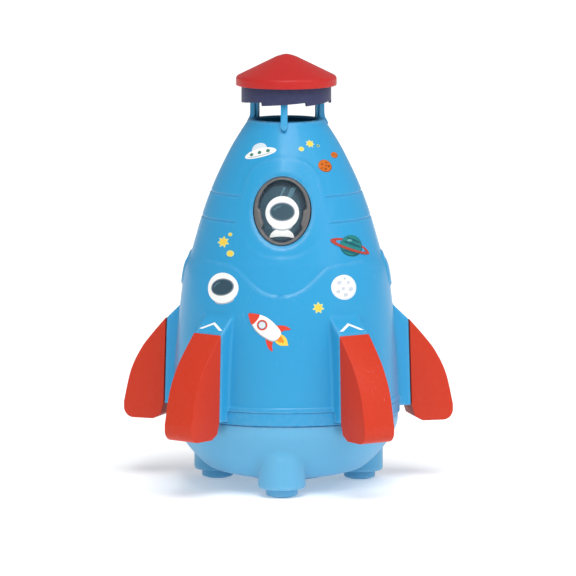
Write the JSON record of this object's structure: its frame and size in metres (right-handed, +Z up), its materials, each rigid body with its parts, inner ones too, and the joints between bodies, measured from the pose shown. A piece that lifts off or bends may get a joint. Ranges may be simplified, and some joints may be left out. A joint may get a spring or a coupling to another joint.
{
  "type": "water rocket toy",
  "caption": "Garden-hose space rocket toy: a finned hollow rocket stands on a footed launch base, lifts off and spins on the water jet.",
  "frame": {"origin": "on the ground, under the middle of the whole toy's box; the rocket's own axis stands 5.87 mm in front of it", "axes": "+Z up along the rocket, -Y towards the side with the window, +X to the right as seen from the front"},
  "size_m": [0.1762, 0.1676, 0.23],
  "materials": {
    "body_blue": "satin moulded plastic",
    "base_blue": "satin moulded plastic",
    "fin_red": "fine matt moulded plastic",
    "cap_red": "fine matt moulded plastic",
    "ring_navy": "matt moulded plastic",
    "trim_grey": "matt moulded plastic",
    "clear_plastic": "clear glossy plastic",
    "printed_card": "printed card",
    "white_plastic": "plain moulded plastic",
    "black_rubber": "soft rubber",
    "brass": "turned brass",
    "steel": "plain steel"
  },
  "bodies": {
    "base": {"base_bowl": "base_blue", "base_deck": "base_blue", "bottom_cover": "base_blue", "foot_pad_1": "base_blue", "foot_pad_2": "base_blue", "foot_pad_3": "base_blue", "deck_screw_1": "steel", "deck_screw_2": "steel", "deck_screw_3": "steel", "cover_screw_1": "steel", "cover_screw_2": "steel", "cover_screw_3": "steel", "launch_column": "white_plastic", "nozzle_tip": "brass", "water_elbow": "white_plastic", "column_o_ring": "black_rubber", "inlet_nipple": "white_plastic", "inlet_o_ring": "black_rubber", "inlet_gasket": "black_rubber", "inlet_nut": "white_plastic", "filter_screen": "steel"},
    "lift_bush": {"glide_bush": "white_plastic"},
    "rocket": {"body_shell": "body_blue", "skirt_ring": "body_blue", "guide_spider": "white_plastic", "window_bezel": "trim_grey", "window_glass": "clear_plastic", "window_card": "printed_card", "fin_front_right": "fin_red", "fin_side_right": "fin_red", "fin_rear": "fin_red", "fin_side_left": "fin_red", "fin_front_left": "fin_red", "fin_screw_front_right": "steel", "fin_screw_side_right": "steel", "fin_screw_rear": "steel", "fin_screw_side_left": "steel", "fin_screw_front_left": "steel", "deflector_ring": "ring_navy", "crown_screw_1": "steel", "crown_screw_2": "steel", "crown_screw_3": "steel", "nose_cap": "cap_red"}
  },
  "joints": [
    {"name": "rocket_lift", "type": "slide", "parent": "base", "child": "lift_bush", "axis": [0, 0, 1], "range_m": [0, 0.1]},
    {"name": "rocket_spin", "type": "hinge", "parent": "lift_bush", "child": "rocket", "pos_m": [0, -0.00587, 0.1], "axis": [0, 0, 1], "continuous": true}
  ]
}
